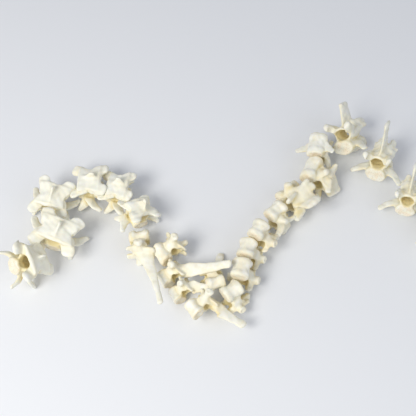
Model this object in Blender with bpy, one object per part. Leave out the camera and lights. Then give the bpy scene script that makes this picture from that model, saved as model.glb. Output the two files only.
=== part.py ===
"""A red fox's backbone as loose, cleaned bones laid out in a wave on a flat surface.

Six neck, thirteen chest and seven loin vertebrae and the sacrum, each its own solid.
Metres, +Z up, +X towards the tail end of the wave, origin under the middle of the chain.
In a bone's own frame x runs along the canal towards the head, y to its left and z to its back.
"""

import math
import random
from dataclasses import dataclass, replace

import bmesh
import bpy
from mathutils import Matrix, Vector

MM = 0.001

# The picture that the bones are laid out by: its middle, its scale there and how steeply it looks down.
PICTURE_MIDDLE = 208.0
MM_PER_PIXEL = 0.65
LOOK_DOWN = math.radians(60)
LOOK_DISTANCE = 600.0
# Where the middle of the chain's box lies on the floor, measured from the point under the picture's middle.
CHAIN_MIDDLE = (54.84, -10.81)

# How deep each resting flat is ground, in mm, and the side of the block that grinds it, in metres.
REST_FLAT = 0.35
FLOOR_CUTTER = 0.1
CENTRUM_SIDES = 8
PROCESS_SIDES = 6
SMALL_SIDES = 5
CANAL_SIDES = 6
# Where along a process its cross sections stand, for those longer and shorter than so many mm.
LONG_PROCESS = 13.0
LONG_STEPS = (0.0, 0.4, 0.85, 1.0)
SHORT_STEPS = (0.0, 0.75, 1.0)
ROUND_TIP = 0.5
# The share of faces kept once a bone is joined, and how much bones vary in size and tone.
KEPT_FACES = 0.68
SIZE_SPREAD = 0.03
SEED = 11
BONE_COLOUR = (0.86, 0.80, 0.66)
BONE_ROUGHNESS = 0.55
SMOOTH_UNDER = math.radians(50)

# Cross sections along a bone: the share of its half length, mm beyond that, mm of rise, and the shares of its
# half width and half height. The waist's share is each kind's own.
HEAD_END = ((1, 0, 0, 0.55, 0.55), (1, -0.9, 0, 0.92, 0.95))
WAIST_AT = (0.3, -0.4)
TAIL_END = ((-1, 0.8, 0, 1, 1), (-1, 0, 0, 0.86, 0.86))
ARCH_SECTIONS = ((1, 0, 0, 0.86, 0.84), (0, 0, 0, 1, 1), (-1, 0, 0, 0.86, 0.9))
ROOF_SECTIONS = (
    (1, 1, -0.6, 0.8, 0.7),
    (0.55, 0, 0, 1, 1),
    (-0.05, 0, 0.3, 1, 1),
    (-0.6, 0, 0.4, 1, 1),
    (-1, -1, 0, 0.8, 0.7),
)
CANAL_FLARE = 1.35
CANAL_SECTIONS = (
    (1, 0, 0, CANAL_FLARE, CANAL_FLARE),
    (0.2, 0, 0, 1, 1),
    (-0.2, 0, 0, 1, 1),
    (-1, 0, 0, CANAL_FLARE, CANAL_FLARE),
)
# How far a neck's roof plate stands over the canal, as a share of half its thickness, and how many mm the
# canal cuts into the body under it.
ROOF_RISE = 0.6
CANAL_SINK = 0.3


@dataclass(frozen=True)
class Process:
    """A bony process in mm: its root and tip, its breadth and thickness at root, middle and tip."""

    root: tuple
    tip: tuple
    broad: tuple
    thick: tuple
    face: tuple
    bow: tuple = (0.0, 0.0, 0.0)


@dataclass(frozen=True)
class Kind:
    """One kind of vertebra in mm."""

    length: float
    width: float
    height: float
    waist: float
    arch_length: float
    arch_width: float
    arch_height: float
    canal_width: float
    canal_height: float
    paired: tuple
    spine_root: tuple
    spine_broad: tuple
    spine_thick: tuple
    roof_width: tuple = ()
    roof_thick: float = 0.0


NECK = Kind(
    length=19.0, width=11.0, height=8.0, waist=0.8,
    arch_length=15.0, arch_width=14.5, arch_height=10.0,
    canal_width=7.6, canal_height=6.2,
    paired=(
        Process((3, 5, 7.6), (12.5, 9.2, 7.4), (8.5, 8, 6), (3.4, 3, 2.2), (0, -0.35, 1)),
        Process((-3, 5, 9.6), (-12, 8.4, 11), (8.5, 8, 6.5), (3.4, 3, 2.2), (0, 0.35, 1)),
        Process((0, 3.5, 1.5), (-8.5, 14.2, -1.5), (9, 6.5, 4), (3.2, 2.4, 2), (-0.2, -0.3, 1), (1, 2, 0)),
        Process((2, 3.5, -1), (8, 10.5, -6), (8, 6.5, 4), (3, 2.4, 2), (-0.3, 0.5, 1), (-1, 1.5, 0.5)),
    ),
    spine_root=(-1, 0, 11), spine_broad=(11, 8, 5), spine_thick=(3.6, 2.4, 2.2),
    roof_width=(19, 15, 20), roof_thick=4.4,
)
CHEST = Kind(
    length=12.2, width=10.4, height=8.0, waist=0.8,
    arch_length=9.4, arch_width=10.6, arch_height=8.6,
    canal_width=6.4, canal_height=5.6,
    paired=(
        Process((1, 3.2, 9.2), (7.4, 3.6, 9.6), (4.4, 4, 3.4), (2.4, 2, 1.6), (0, -0.2, 1)),
        Process((-1, 3, 10.2), (-7.6, 3, 11.8), (4.4, 4, 3.4), (2.4, 2, 1.6), (0, 0.2, 1)),
        Process((1, 3.5, 8.4), (0.5, 11, 10.4), (5.6, 4.8, 5.2), (5, 4, 4.4), (0, -0.2, 1)),
    ),
    spine_root=(-1.5, 0, 10), spine_broad=(8.6, 5.6, 5), spine_thick=(3.2, 2.2, 2.6),
)
# The first two chest vertebrae have slender spines, and the sixth to the tenth shorter rib joints.
FIRST_CHEST = replace(CHEST, spine_broad=(8.6, 4.8, 3.4))
SHORT_RIB_JOINT = Process((1, 3.5, 8.4), (0.5, 8.6, 9.8), (5.6, 4.8, 5.2), (5, 4, 4.4), (0, -0.2, 1))
LATE_CHEST = replace(CHEST, paired=(*CHEST.paired[:2], SHORT_RIB_JOINT))
LAST_CHEST = replace(
    CHEST,
    length=14.4, width=11.6, height=8.6, arch_length=11.5, arch_width=11.4, arch_height=9.4,
    paired=(
        Process((2, 4, 9.6), (8.6, 5, 12.4), (5.4, 4.6, 3.4), (3, 2.6, 2.2), (0, -0.8, 0.7)),
        Process((-2, 2.8, 10.4), (-9.6, 3, 11.4), (4.6, 4, 3.4), (2.8, 2.4, 2), (0, 0.7, 0.8)),
        Process((-2, 4.2, 7.4), (-8.6, 6.4, 7.6), (4, 3, 1.8), (2.6, 2, 1.4), (0, -1, 0.2)),
        Process((1.5, 4, 4.6), (0.5, 8.8, 5.4), (6, 5, 4), (4, 3.4, 3), (0, -0.2, 1)),
    ),
    spine_root=(-1, 0, 10.8), spine_broad=(10.5, 9, 8), spine_thick=(2.8, 2, 2.4),
)
LOIN = Kind(
    length=18.4, width=13.4, height=9.4, waist=0.78,
    arch_length=14.5, arch_width=12.4, arch_height=10.2,
    canal_width=8.0, canal_height=6.0,
    paired=(
        Process((3, 4.6, 10), (12, 6.8, 13.6), (7, 6, 4.6), (3.4, 3.2, 2.6), (0, -0.85, 0.5)),
        Process((-4, 3.2, 11.4), (-13, 3.8, 12.8), (6, 5, 4), (3, 2.8, 2.4), (0, 0.8, 0.6)),
        Process((-3, 4.6, 7.2), (-10.5, 6.8, 7.6), (4, 2.8, 1.6), (2.4, 1.8, 1.4), (0, -1, 0.2)),
    ),
    spine_root=(-1, 0, 11.6), spine_broad=(12.5, 10, 8.5), spine_thick=(3, 2, 2.6),
)
LOIN_WING = Process(
    (1, 4.5, 1.2), (10, 20.5, -4), (9.5, 6.4, 4.2), (3.4, 2, 1.5), (0.1, 0.25, 1), (-1.5, 0, 1),
)


def loin_kind(reach):
    """A loin vertebra whose wings reach a share of the longest ones' length."""
    root = Vector(LOIN_WING.root)
    tip = root.lerp(Vector(LOIN_WING.tip), reach)
    wing = replace(LOIN_WING, tip=tuple(tip), bow=tuple(Vector(LOIN_WING.bow) * reach))
    return replace(LOIN, paired=(*LOIN.paired, wing))


# The sacrum's own sizes in mm. Its cross sections are as above, but with half widths and half heights in mm.
SACRUM_LENGTH = 34.0
SACRUM_BODY = (
    (1, 0, 0, 6, 3.6), (1, -1, 0, 7.5, 4.5), (0, 0, 0, 5.4, 3.2), (-1, 1, 0, 4.2, 2.5), (-1, 0, 0, 3.6, 2.1),
)
SACRUM_ROOF = ((1, -3, 6, 6.4, 5), (0, 0, 5, 5.4, 4.2), (-1, 3, 3.4, 3.6, 3))
SACRUM_TUNNEL = ((2, 0, 6.4, 5.6, 4.2), (0.4, 0, 6, 3.9, 2.7), (-0.6, 0, 4.4, 2.4, 1.6), (-2, 0, 4, 1.8, 1.2))
SACRUM_WING = Process((9, 5, 1), (11, 18, 1.5), (15, 15, 12), (8, 8, 7), (0, 0, 1))
SACRUM_SIDE = Process((-2, 5, 0), (-14, 9.5, 0), (9, 7, 5), (4, 3.4, 2.4), (0, 0, 1))
SACRUM_JOINT = Process((8, 3.5, 7), (17.5, 6.2, 10), (5, 4.4, 3.6), (3, 2.6, 2.2), (0, -0.85, 0.5))
# Each crest is a place along the sacrum and a height over the crests' foot; all lean back by the same amount.
SACRUM_CRESTS = ((8.0, 9.0), (-1.0, 7.5), (-9.5, 5.0))
CREST_FOOT = 5.0
CREST_LEAN = 2.5
CREST_BROAD = (9, 7, 5)
CREST_THICK = (3, 2, 2.2)


@dataclass(frozen=True)
class Lie:
    """How one vertebra lies.

    Its centrum's middle is at a column and row of the picture. Ahead is where its head end points and back
    where its spine side points, on the floor plan (x right, y away, z up). The spine is in mm beyond the arch
    and leans towards the tail by so many degrees. Size scales the whole bone, and long and wide its length and
    width again.
    """

    kind: Kind
    column: float
    row: float
    ahead: tuple
    back: tuple
    spine: float
    lean: float = 0.0
    size: float = 1.0
    long: float = 1.0
    wide: float = 1.0


NECK_LIES = (
    Lie(NECK, 21, 265, (-0.3, -0.5, 0.8), (0.9, 0.3, 0.17), 1.5, size=1.05),
    Lie(NECK, 56, 237, (-0.3, -0.95, 0), (0.25, 0, 0.97), 2, 20, size=1.05, long=0.84, wide=1.2),
    Lie(NECK, 53.5, 204, (-0.25, -0.97, 0), (0.08, 0, 1), 2, 20, size=1.04, long=0.87, wide=1.02),
    Lie(NECK, 91, 190, (-1, 0.02, 0), (0.05, 0.15, 1), 2, 10, size=1.0, long=0.84, wide=1.1),
    Lie(NECK, 118.5, 195, (-0.98, 0.15, 0), (0.05, 0.15, 1), 2.5, size=0.95, long=0.83, wide=1.1),
    Lie(NECK, 136, 217, (-0.5, 0.86, 0), (0.35, 0.2, 0.9), 5, size=0.88, long=0.85, wide=1.1),
)
CHEST_LIES = (
    Lie(FIRST_CHEST, 139.5, 238, (-0.97, -0.1, 0), (0.05, -1, 0.15), 31, 12, size=1.1),
    Lie(FIRST_CHEST, 162, 254, (-0.6, 0.77, 0), (0.78, 0.62, 0), 2, 12, size=1.05),
    Lie(CHEST, 166, 278.5, (-0.5, 0.87, 0), (0.97, 0.25, 0.52), 31, 34, size=1.0, long=0.88),
    Lie(CHEST, 177, 294.5, (-0.5, 0.86, 0), (0.86, 0.45, 0.65), 11, 45, size=0.94, long=0.86),
    Lie(CHEST, 194, 308.5, (-0.6, 0.8, 0), (0.8, 0.6, -0.2), 24, 72, size=1.0, long=0.9),
    Lie(LATE_CHEST, 215.5, 283.5, (-0.94, -0.3, 0), (-0.05, 0.98, -0.5), 13, 30, size=0.95),
    Lie(LATE_CHEST, 231.5, 291, (-0.8, -0.6, 0), (0.4, -0.1, -0.9), 5, 75, size=1.1, long=0.9),
    Lie(LATE_CHEST, 241, 269, (-0.25, -0.97, 0), (0.2, 0, -1), 4, 75, size=1.2, long=0.88),
    Lie(LATE_CHEST, 247, 248.5, (-0.3, -0.95, 0), (0.3, -0.1, -0.95), 5, 75, size=1.13, long=0.9),
    Lie(LATE_CHEST, 258, 230, (-0.5, -0.86, 0), (0.4, -0.2, -0.88), 8, 50, size=1.13, long=0.9),
    Lie(LAST_CHEST, 275, 210.8, (-0.7, -0.7, 0), (0.4, -0.3, -0.85), 4, 10, size=1.0, long=0.93),
    Lie(LAST_CHEST, 289.5, 196.5, (-0.75, -0.66, 0), (0.5, -0.6, 0.6), 6, size=1.2, wide=1.15),
    Lie(LAST_CHEST, 311, 170.5, (-0.4, -0.9, 0), (0.8, -0.5, -0.5), 5, -30, size=1.18),
)
LOIN_LIES = (
    Lie(loin_kind(0.55), 317, 145.5, (-0.25, -0.95, 0), (0.35, -0.1, -0.93), 5, -20, size=0.92),
    Lie(loin_kind(0.55), 350, 145, (-0.6, -0.6, 0.5), (-0.25, 0.65, 0.65), 10, size=1.1),
    Lie(loin_kind(0.65), 379, 168.5, (-0.4, -0.75, 0.35), (0.1, 0.5, 0.85), 16, size=1.08),
    Lie(loin_kind(0.75), 407, 204.5, (-0.3, -0.75, 0.35), (0.1, 0.5, 0.85), 15, size=0.98),
    Lie(loin_kind(0.9), 440, 231.5, (-0.85, 0.5, 0), (0.2, 0.3, 0.9), 12, size=0.95),
    Lie(loin_kind(1.0), 472, 241, (-0.95, 0.3, 0), (0, 0.1, 1), 11),
    Lie(loin_kind(0.9), 512, 245, (-1, 0.1, 0), (0, 0.05, 1), 9),
)
SACRUM_LIE = Lie(LOIN, 555.5, 245, (-1, 0.1, 0), (0, 0.05, 1), 0)


def clear_scene():
    """Takes every object out of the scene."""
    for item in list(bpy.data.objects):
        bpy.data.objects.remove(item, do_unlink=True)


def new_collection(name, hidden=False):
    """A collection in the scene, hidden from the render where it only holds helpers."""
    collection = bpy.data.collections.new(name)
    collection.hide_render = hidden
    bpy.context.scene.collection.children.link(collection)
    return collection


def ring(centre, across, up, sides):
    """The points of an ellipse round a centre, from its two half axes."""
    turns = [2 * math.pi * (step + 0.5) / sides for step in range(sides)]
    return [centre + across * math.cos(turn) + up * math.sin(turn) for turn in turns]


def loft(name, rings, collection):
    """A closed solid through rings of equally many points."""
    mesh = bmesh.new()
    rows = [[mesh.verts.new(point * MM) for point in points] for points in rings]
    for near, far in zip(rows, rows[1:]):
        for side in range(len(near)):
            after = (side + 1) % len(near)
            mesh.faces.new((near[side], near[after], far[after], far[side]))
    mesh.faces.new(list(reversed(rows[0])))
    mesh.faces.new(rows[-1])
    bmesh.ops.recalc_face_normals(mesh, faces=mesh.faces)
    bmesh.ops.triangulate(mesh, faces=mesh.faces)
    data = bpy.data.meshes.new(name)
    mesh.to_mesh(data)
    mesh.free()
    item = bpy.data.objects.new(name, data)
    item.display_type = "WIRE" if collection.hide_render else "TEXTURED"
    collection.objects.link(item)
    return item


def blend_three(values, t):
    """A value that runs from the first through the second, at the middle, to the third."""
    if t < 0.5:
        return values[0] + (values[1] - values[0]) * t * 2
    return values[1] + (values[2] - values[1]) * (t * 2 - 1)


def process_rings(process, side):
    """Rings along a process, on the left (side 1) or the right (side -1), the last one rounding its tip."""
    mirror = Vector((1, side, 1))
    root = Vector(process.root) * mirror
    tip = Vector(process.tip) * mirror
    bow = Vector(process.bow) * mirror
    face = Vector(process.face) * mirror
    along = (tip - root).normalized()
    across = along.cross(face).normalized()
    flat = across.cross(along).normalized()
    steps = LONG_STEPS if (tip - root).length > LONG_PROCESS else SHORT_STEPS
    sides = PROCESS_SIDES if len(steps) == len(LONG_STEPS) else SMALL_SIDES
    rings = []
    for step in steps:
        centre = root.lerp(tip, step) + bow * (4 * step * (1 - step))
        size = ROUND_TIP if step == 1.0 else 1.0
        broad = blend_three(process.broad, step) / 2 * size
        thick = blend_three(process.thick, step) / 2 * size
        rings.append(ring(centre, across * broad, flat * thick, sides))
    return rings


def spine_process(kind, length, lean):
    """The spinous process of a kind of vertebra, so long beyond the arch and leaning back by an angle."""
    angle = math.radians(lean)
    root = Vector(kind.spine_root)
    tip = root + Vector((-math.sin(angle), 0, math.cos(angle))) * (length + kind.spine_thick[0])
    return Process(tuple(root), tuple(tip), kind.spine_broad, kind.spine_thick, (0, 1, 0))


def across_ring(x, z, half_width, half_height, sides=CENTRUM_SIDES):
    """A ring that stands across the canal at x."""
    return ring(Vector((x, 0, z)), Vector((0, half_width, 0)), Vector((0, 0, half_height)), sides)


def section_rings(sections, half, wide, high, middle=0.0, sides=CENTRUM_SIDES):
    """The rings that a row of cross sections stands for, on a bone of these half sizes."""
    return [
        across_ring(half * share + beyond, middle + rise, wide * broad, high * tall, sides)
        for share, beyond, rise, broad, tall in sections
    ]


def centrum(kind, collection):
    """The body of the vertebra: waisted, with a domed head end and a flared tail end."""
    waist = [(share, 0, 0, kind.waist, kind.waist) for share in WAIST_AT]
    sections = [*HEAD_END, *waist, *TAIL_END]
    rings = section_rings(sections, kind.length / 2, kind.width / 2, kind.height / 2)
    return loft("centrum", rings, collection)


def arch(kind, collection):
    """The ring of bone round the canal, before the canal is cut."""
    middle = (kind.height + kind.canal_height) / 2
    wide = kind.arch_width / 2
    high = kind.arch_height / 2
    rings = section_rings(ARCH_SECTIONS, kind.arch_length / 2, wide, high, middle)
    return loft("arch", rings, collection)


def roof(kind, collection):
    """The broad plate that joins a neck vertebra's four joints over the arch, narrowest at its middle."""
    front, middle, rear = (width / 2 for width in kind.roof_width)
    thick = kind.roof_thick / 2
    height = kind.height / 2 + kind.canal_height + thick * ROOF_RISE
    rings = []
    for section, wide in zip(ROOF_SECTIONS, (front, front, middle, rear, rear)):
        rings += section_rings([section], kind.arch_length / 2, wide, thick, height)
    return loft("roof", rings, collection)


def canal(kind, collection):
    """The cutter for the vertebral canal, wider towards both mouths."""
    middle = (kind.height + kind.canal_height) / 2 - CANAL_SINK
    wide = kind.canal_width / 2
    high = kind.canal_height / 2
    rings = section_rings(CANAL_SECTIONS, kind.length, wide, high, middle, CANAL_SIDES)
    return loft("canal", rings, collection)


def apply_boolean(item, operation, others):
    """Joins a collection's solids to the item, or cuts one solid from it, and applies the result."""
    modifier = item.modifiers.new(operation.title(), "BOOLEAN")
    modifier.operation = operation
    modifier.solver = "MANIFOLD"
    if isinstance(others, bpy.types.Collection):
        modifier.operand_type = "COLLECTION"
        modifier.collection = others
    else:
        modifier.object = others
    graph = bpy.context.evaluated_depsgraph_get()
    joined = bpy.data.meshes.new_from_object(item.evaluated_get(graph))
    item.modifiers.clear()
    item.data = joined


def thin_out(item):
    """Takes out the slivers that joining leaves, by merging the least needed edges."""
    modifier = item.modifiers.new("Thin", "DECIMATE")
    modifier.ratio = KEPT_FACES
    graph = bpy.context.evaluated_depsgraph_get()
    thinned = bpy.data.meshes.new_from_object(item.evaluated_get(graph))
    item.modifiers.clear()
    item.data = thinned


def keep_largest(item):
    """Keeps the largest closed surface of the item."""
    mesh = bmesh.new()
    mesh.from_mesh(item.data)
    waiting = set(mesh.faces)
    shells = []
    while waiting:
        shell = {waiting.pop()}
        edge_faces = list(shell)
        while edge_faces:
            face = edge_faces.pop()
            for edge in face.edges:
                for neighbour in edge.link_faces:
                    if neighbour in waiting:
                        waiting.remove(neighbour)
                        shell.add(neighbour)
                        edge_faces.append(neighbour)
        shells.append(shell)
    largest = max(shells, key=lambda shell: sum(face.calc_area() for face in shell))
    spare = [face for shell in shells if shell is not largest for face in shell]
    bmesh.ops.delete(mesh, geom=spare, context="FACES")
    mesh.to_mesh(item.data)
    mesh.free()


def fuse(name, pieces, cutters, collection):
    """Joins a bone's pieces into one closed body, and cuts from it."""
    bone = pieces[0]
    helpers = bpy.data.collections.new(name + "_pieces")
    bpy.context.scene.collection.children.link(helpers)
    for piece in pieces[1:]:
        collection.objects.unlink(piece)
        helpers.objects.link(piece)
    apply_boolean(bone, "UNION", helpers)
    for piece in list(helpers.objects):
        bpy.data.objects.remove(piece, do_unlink=True)
    bpy.data.collections.remove(helpers)
    for cutter in cutters:
        apply_boolean(bone, "DIFFERENCE", cutter)
        bpy.data.objects.remove(cutter, do_unlink=True)
    keep_largest(bone)
    thin_out(bone)
    bone.name = name
    bone.data.name = name
    return bone


def varied(kind, rng):
    """The kind with each length drawn a little longer or shorter."""
    def off(value):
        return value * (1 + rng.uniform(-SIZE_SPREAD, SIZE_SPREAD))
    return replace(kind, length=off(kind.length), width=off(kind.width), height=off(kind.height))


def vertebra(name, lie, rng, bones, cutters):
    """One vertebra in its own frame."""
    kind = varied(lie.kind, rng)
    pieces = [centrum(kind, bones), arch(kind, bones)]
    if kind.roof_width:
        pieces.append(roof(kind, bones))
    for number, process in enumerate(kind.paired):
        for side in (1, -1):
            pieces.append(loft(f"process_{number}", process_rings(process, side), bones))
    spine = spine_process(kind, lie.spine, lie.lean)
    pieces.append(loft("spine", process_rings(spine, 1), bones))
    return fuse(name, pieces, [canal(kind, cutters)], bones)


def sacrum(name, bones, cutters):
    """The three fused vertebrae at the hips, with their wings and crest."""
    half = SACRUM_LENGTH / 2
    body = loft("body", section_rings(SACRUM_BODY, half, 1, 1), bones)
    roof_block = loft("roof", section_rings(SACRUM_ROOF, half, 1, 1), bones)
    pieces = [body, roof_block]
    for process in (SACRUM_WING, SACRUM_SIDE, SACRUM_JOINT):
        for side in (1, -1):
            pieces.append(loft("side", process_rings(process, side), bones))
    for x, height in SACRUM_CRESTS:
        foot = (x, 0, CREST_FOOT)
        tip = (x - CREST_LEAN, 0, CREST_FOOT + height)
        crest = Process(foot, tip, CREST_BROAD, CREST_THICK, (0, 1, 0))
        pieces.append(loft("crest", process_rings(crest, 1), bones))
    tunnel = loft("tunnel", section_rings(SACRUM_TUNNEL, half, 1, 1, sides=CANAL_SIDES), cutters)
    return fuse(name, pieces, [tunnel], bones)


def turned(lie):
    """The turn from a bone's own frame to the floor plan."""
    ahead = Vector(lie.ahead).normalized()
    back = Vector(lie.back)
    back = (back - ahead * back.dot(ahead)).normalized()
    left = back.cross(ahead)
    return Matrix((ahead, left, back)).transposed().to_4x4()


def picture_point(column, row, height):
    """The point at a height, in mm, that the picture shows at a column and a row."""
    eye = Vector((0, -math.cos(LOOK_DOWN), math.sin(LOOK_DOWN))) * LOOK_DISTANCE
    forward = -eye.normalized()
    upward = Vector((0, math.sin(LOOK_DOWN), math.cos(LOOK_DOWN)))
    right = Vector((1, 0, 0)) * (column - PICTURE_MIDDLE) * MM_PER_PIXEL
    ray = forward * LOOK_DISTANCE + right + upward * (PICTURE_MIDDLE - row) * MM_PER_PIXEL
    return eye + ray * ((height - eye.z) / ray.z)


def lay(bone, lie, cutters):
    """Turns the bone, puts it where the picture shows it and grinds a small flat where it rests."""
    stretch = Matrix.Diagonal((lie.size * lie.long, lie.size * lie.wide, lie.size, 1))
    bone.data.transform(turned(lie) @ stretch)
    lowest = min(point.co.z for point in bone.data.vertices) / MM
    place = picture_point(lie.column, lie.row, -lowest - REST_FLAT)
    place -= Vector((*CHAIN_MIDDLE, 0))
    bone.data.transform(Matrix.Translation(place * MM))
    under = Vector((place.x * MM, place.y * MM, -FLOOR_CUTTER / 2))
    bpy.ops.mesh.primitive_cube_add(size=FLOOR_CUTTER, location=under)
    floor = bpy.context.active_object
    for holder in list(floor.users_collection):
        holder.objects.unlink(floor)
    cutters.objects.link(floor)
    floor.display_type = "WIRE"
    apply_boolean(bone, "DIFFERENCE", floor)
    bpy.data.objects.remove(floor, do_unlink=True)
    keep_largest(bone)


def finish(bone, rng):
    """Gives the bone its own ivory material and smooth shading."""
    material = bpy.data.materials.new(bone.name)
    material.use_nodes = True
    shader = material.node_tree.nodes["Principled BSDF"]
    tone = 1 + rng.uniform(-SIZE_SPREAD, SIZE_SPREAD)
    shader.inputs["Base Color"].default_value = (*(value * tone for value in BONE_COLOUR), 1)
    shader.inputs["Roughness"].default_value = BONE_ROUGHNESS
    shader.inputs["Metallic"].default_value = 0.0
    bone.data.materials.clear()
    bone.data.materials.append(material)
    bone.data.shade_smooth()
    bone.data.set_sharp_from_angle(angle=SMOOTH_UNDER)


def main():
    """Builds every bone and lays it in its place."""
    clear_scene()
    bones = new_collection("fox_spine")
    cutters = new_collection("cutters", hidden=True)
    rng = random.Random(SEED)
    regions = (("neck", NECK_LIES), ("chest", CHEST_LIES), ("loin", LOIN_LIES))
    for region, lies in regions:
        for number, lie in enumerate(lies, start=1):
            bone = vertebra(f"{region}_vertebra_{number}", lie, rng, bones, cutters)
            lay(bone, lie, cutters)
            finish(bone, rng)
    bone = sacrum("sacrum", bones, cutters)
    lay(bone, SACRUM_LIE, cutters)
    finish(bone, rng)


main()
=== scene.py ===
"""The look of a red fox's backbone: loose, cleaned bones laid out in a wave on a pale floor.

Every bone is modelled in its own frame in millimetres, with x along the canal towards the head, y to its left
and z to its back. It is then turned and laid where the picture shows it, as the solids are. The world is in
metres, with +X towards the tail end of the wave, +Y away from the viewer and +Z up.
"""

from __future__ import annotations

import logging
import math
import random
from collections.abc import Iterator
from dataclasses import dataclass, field, replace
from enum import Enum
from itertools import count

import bpy
import numpy as np
from mathutils import Matrix, Vector


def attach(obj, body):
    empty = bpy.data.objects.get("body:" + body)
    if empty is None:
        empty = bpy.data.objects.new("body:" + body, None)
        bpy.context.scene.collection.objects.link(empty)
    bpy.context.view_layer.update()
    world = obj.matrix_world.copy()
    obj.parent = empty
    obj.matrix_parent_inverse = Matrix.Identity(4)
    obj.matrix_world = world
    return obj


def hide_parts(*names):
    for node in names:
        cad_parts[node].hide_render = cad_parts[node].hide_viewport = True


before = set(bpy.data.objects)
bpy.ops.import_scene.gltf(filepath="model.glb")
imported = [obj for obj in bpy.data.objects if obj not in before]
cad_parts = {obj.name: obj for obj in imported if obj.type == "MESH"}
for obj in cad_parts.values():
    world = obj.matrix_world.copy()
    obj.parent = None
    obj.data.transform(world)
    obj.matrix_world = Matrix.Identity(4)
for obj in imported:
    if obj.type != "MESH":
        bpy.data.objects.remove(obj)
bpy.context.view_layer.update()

Triple = tuple[float, float, float]
Colour = tuple[float, float, float, float]
Sizes = tuple[float, ...]

LOG = logging.getLogger("fox_spine")
MM = 0.001

# The picture that the bones are laid out by, its scale in mm a pixel, and how the view looks down.
PICTURE_SIDE = 416.0
MM_PER_PIXEL = 0.65
LOOK_DOWN = math.radians(60)
LOOK_DISTANCE = 600.0
CHAIN_MIDDLE = (54.84, -10.81)

# How finely the bones are modelled, in mm, and how they vary.
GRAIN = 0.42
MARGIN = 3.6
FAR = 6.0
THINNEST = 0.2
REST_FLAT = 0.35
SIZE_SPREAD = 0.03
SEED = 11


class Blend(Enum):
    """How wide a fillet a form gets where it meets the bone, in mm."""

    CRISP = 0.35
    NARROW = 0.9
    WIDE = 1.8


class Slot(Enum):
    """The record's material slots."""

    NECK = "neck_bone"
    CHEST = "chest_bone"
    LOIN = "loin_bone"
    HIP = "hip_bone"


def smooth_least(first: np.ndarray, second: np.ndarray, width: float) -> np.ndarray:
    """The lesser of two distances, with a fillet between them.

    Args:
        first: Distances to one form.
        second: Distances to the other form.
        width: The fillet's width in mm.

    Returns:
        The joined distances.
    """
    share = np.clip(0.5 + 0.5 * (second - first) / width, 0.0, 1.0)
    return second + (first - second) * share - width * share * (1.0 - share)


def stations(values: Sizes, place: np.ndarray) -> np.ndarray:
    """A value on the smooth curve through evenly spaced stations.

    Args:
        values: The value at each station.
        place: Where to read the curve, from 0 at the first station to 1 at the last.

    Returns:
        The values there.
    """
    if len(values) == 1:
        return np.full_like(place, values[0])
    padded = np.array([values[0], *values, values[-1]], np.float32)
    along = place * (len(values) - 1)
    index = np.minimum(along.astype(np.int32), len(values) - 2)
    part = along - index
    before, near, far, after = (padded[index + step] for step in range(4))
    bend = 2 * before - 5 * near + 4 * far - after
    return near + 0.5 * part * (far - before + part * (bend + part * (3 * (near - far) + after - before)))


@dataclass(frozen=True)
class Sweep:
    """A solid with an oval section that changes on its way from a root to a tip, in mm.

    Broad and thick are the section's whole sizes at even stations, and face is the way that its flat side
    looks. Bow is how far the middle of the way is pushed aside. Caps are how far the two ends round out.
    """

    root: Triple
    tip: Triple
    broad: Sizes
    thick: Sizes
    face: Triple = (0.0, 0.0, 1.0)
    bow: Triple = (0.0, 0.0, 0.0)
    caps: tuple[float, float] = (1.0, 1.0)
    blend: Blend = Blend.WIDE
    cuts: bool = False

    def mirrored(self) -> Sweep:
        """The same form on the bone's other side."""
        flip = tuple((point[0], -point[1], point[2]) for point in (self.root, self.tip, self.face, self.bow))
        return replace(self, root=flip[0], tip=flip[1], face=flip[2], bow=flip[3])

    def both(self) -> tuple[Sweep, Sweep]:
        """The form on the left and on the right."""
        return self, self.mirrored()

    def box(self) -> tuple[np.ndarray, np.ndarray]:
        """The lowest and the highest corner of a box that holds the form."""
        ends = np.array([self.root, self.tip, np.add(self.root, self.bow), np.add(self.tip, self.bow)])
        reach = max(*self.broad, *self.thick) / 2 + max(self.caps)
        return ends.min(axis=0) - reach, ends.max(axis=0) + reach

    def distance(self, points: np.ndarray) -> np.ndarray:
        """About how far points are from the form's surface.

        Args:
            points: Points with x, y and z in their last axis.

        Returns:
            Distances in mm, below 0 inside.
        """
        root = np.array(self.root, np.float32)
        way = np.array(self.tip, np.float32) - root
        length = float(np.linalg.norm(way))
        along = way / length
        across = np.cross(along, np.array(self.face, np.float32))
        across /= np.linalg.norm(across)
        flat = np.cross(across, along)
        offset = points - root
        walked = offset @ along
        place = np.clip(walked / length, 0.0, 1.0)
        past = walked - place * length
        aside = 4.0 * place * (1.0 - place)
        bow = np.array(self.bow, np.float32)
        wide = np.maximum(stations(self.broad, place), THINNEST) / 2
        high = np.maximum(stations(self.thick, place), THINNEST) / 2
        cap = np.where(past < 0.0, self.caps[0], self.caps[1])
        share_across = (offset @ across - aside * (bow @ across)) / wide
        share_flat = (offset @ flat - aside * (bow @ flat)) / high
        share_past = past / cap
        reach = np.sqrt(share_across**2 + share_flat**2 + share_past**2)
        steep = np.sqrt((share_across / wide) ** 2 + (share_flat / high) ** 2 + (share_past / cap) ** 2)
        least = 0.02
        return (reach - 1.0) * (reach + least) / (steep + least / np.minimum(wide, high))


def blob(centre: Triple, half: Triple, blend: Blend = Blend.NARROW, cuts: bool = False) -> Sweep:
    """An oval lump, or a dent where it cuts.

    Args:
        centre: Its middle in mm.
        half: Its half sizes along x, y and z.
        blend: The fillet where it meets the bone.
        cuts: Whether it is a dent.

    Returns:
        The form.
    """
    short = 0.02
    root = (centre[0] - short, centre[1], centre[2])
    tip = (centre[0] + short, centre[1], centre[2])
    return Sweep(root, tip, (2 * half[1],), (2 * half[2],), caps=(half[0], half[0]), blend=blend, cuts=cuts)


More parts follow.
